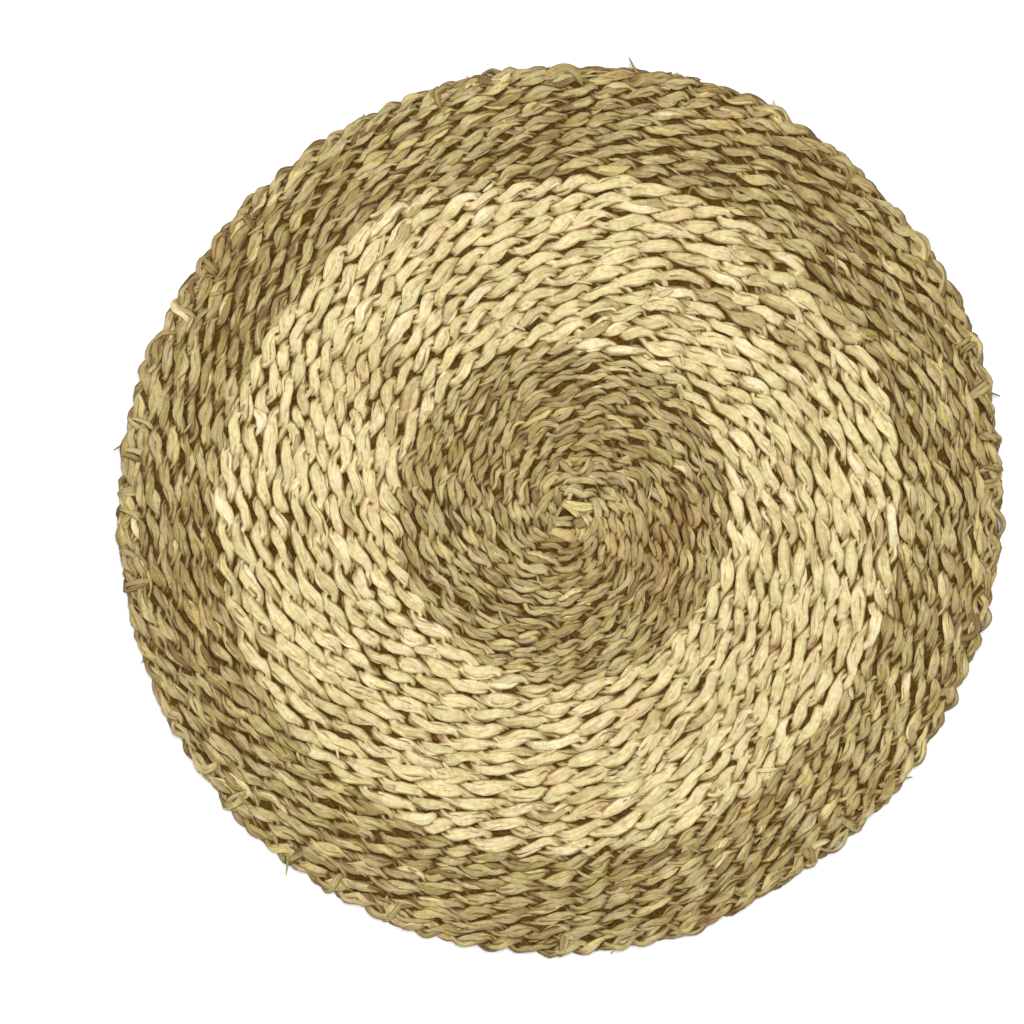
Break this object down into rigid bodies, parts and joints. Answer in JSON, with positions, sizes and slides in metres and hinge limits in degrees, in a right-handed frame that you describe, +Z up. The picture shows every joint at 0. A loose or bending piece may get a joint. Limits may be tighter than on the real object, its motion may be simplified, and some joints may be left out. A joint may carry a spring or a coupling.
{
  "type": "round placemat",
  "caption": "Round flat placemat twined from dried grass in a spiral, natural with a broad pale band and a turned-over rim.",
  "frame": {"origin": "centre of the mat's box, on the flat underside that rests on the table", "axes": "+Z up, out of the upper face; +X and +Y across the mat, +Y away from the person at the table"},
  "size_m": [0.3782, 0.3818, 0.0066],
  "materials": {
    "natural_grass": "dry twined grass, matt, olive tan with straw and brown strands",
    "pale_grass": "dry twined husk, matt to satin, pale straw"
  },
  "bodies": {
    "root": {"woven_mat": "natural_grass"}
  },
  "joints": []
}
